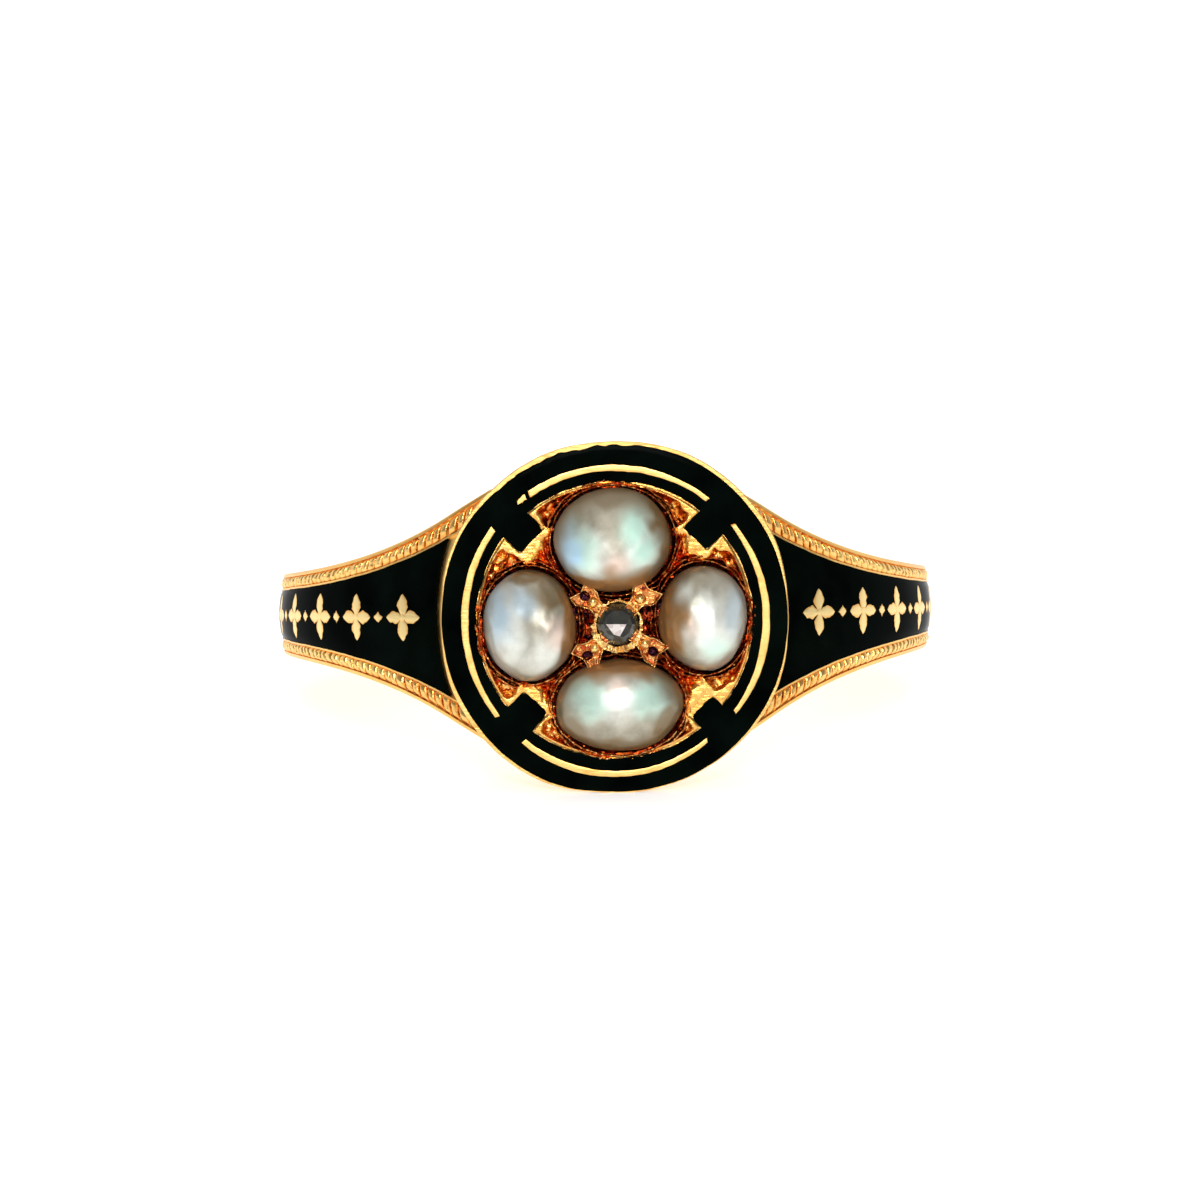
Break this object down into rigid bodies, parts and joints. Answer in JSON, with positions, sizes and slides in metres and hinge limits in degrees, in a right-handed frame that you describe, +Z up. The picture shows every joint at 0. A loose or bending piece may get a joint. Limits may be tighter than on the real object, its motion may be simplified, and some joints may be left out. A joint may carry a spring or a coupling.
{
  "type": "mourning ring",
  "caption": "Gold mourning ring with a round head of black enamel, half pearls round a small diamond, and black enamelled shoulders with reserved gold flowers.",
  "frame": {"origin": "on the surface that the ring lies on, under the middle of its bounding box", "axes": "+Z up as the ring lies on its side, +Y from the head to the back of the hoop, +X to the viewer's right when looking at the head"},
  "size_m": [0.0194, 0.0216, 0.0098],
  "materials": {
    "gold": "old polished yellow gold with worn edges",
    "black_enamel": "glossy opaque black enamel",
    "pearl": "silvery grey nacre with a soft lustre",
    "diamond": "clear old-cut stone that looks grey-brown over a dark seat"
  },
  "bodies": {
    "root": {"ring_body": "gold", "enamel_left": "black_enamel", "enamel_right": "black_enamel", "enamel_face": "black_enamel", "pearl_top": "pearl", "pearl_right": "pearl", "pearl_bottom": "pearl", "pearl_left": "pearl", "diamond": "diamond"}
  },
  "joints": []
}
